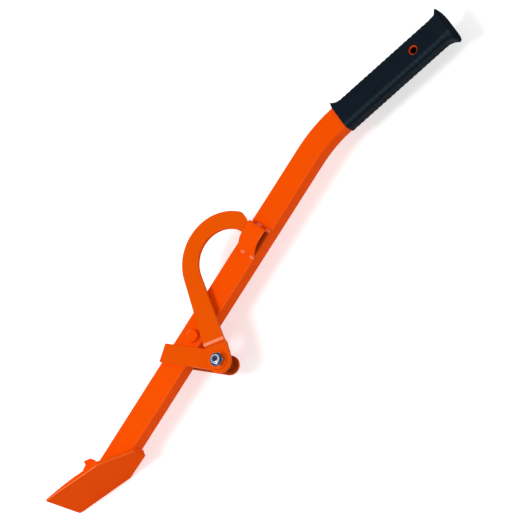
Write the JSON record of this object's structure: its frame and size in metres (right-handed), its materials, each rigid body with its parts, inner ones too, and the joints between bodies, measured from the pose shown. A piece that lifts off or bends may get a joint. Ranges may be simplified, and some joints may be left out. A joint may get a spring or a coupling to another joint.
{
  "type": "felling lever",
  "caption": "Felling lever: bent box-section shaft with a flared tongue plate, a toe claw, a turning hook on a welded bracket, a keeper for its point and a rubber grip.",
  "frame": {"origin": "under the middle of the lever's box, at the height of the tongue's lower edge, with the lever lying on its side", "axes": "+X from the tongue's tip to the grip, +Y to the side of the hook's bow and the toe claw, +Z out of the face that carries the hook"},
  "size_m": [0.7996, 0.1642, 0.092],
  "materials": {
    "orange_paint": "glossy orange paint over steel",
    "zinc_steel": "bright zinc plate",
    "grip_rubber": "moulded blue-black rubber, satin"
  },
  "bodies": {
    "lever": {"shaft_tube": "orange_paint", "tongue_plate": "orange_paint", "tongue_weld": "orange_paint", "toe_claw": "orange_paint", "claw_weld": "orange_paint", "stop_pin": "orange_paint", "stop_pin_weld": "orange_paint", "near_cheek": "orange_paint", "far_cheek": "orange_paint", "cheek_welds": "orange_paint", "pivot_bolt": "zinc_steel", "head_washer": "zinc_steel", "spacer_tube": "orange_paint", "hook_bush": "zinc_steel", "thrust_washer": "orange_paint", "lock_nut": "zinc_steel", "keeper_strap": "orange_paint", "keeper_welds": "orange_paint", "grip_sleeve": "grip_rubber"},
    "hook": {"turning_hook": "orange_paint"}
  },
  "joints": [
    {"name": "hook_hinge", "type": "hinge", "parent": "lever", "child": "hook", "pos_m": [-0.1253, -0.04923, 0.0633], "axis": [0, 0, 1], "range_deg": [0, 110]}
  ]
}
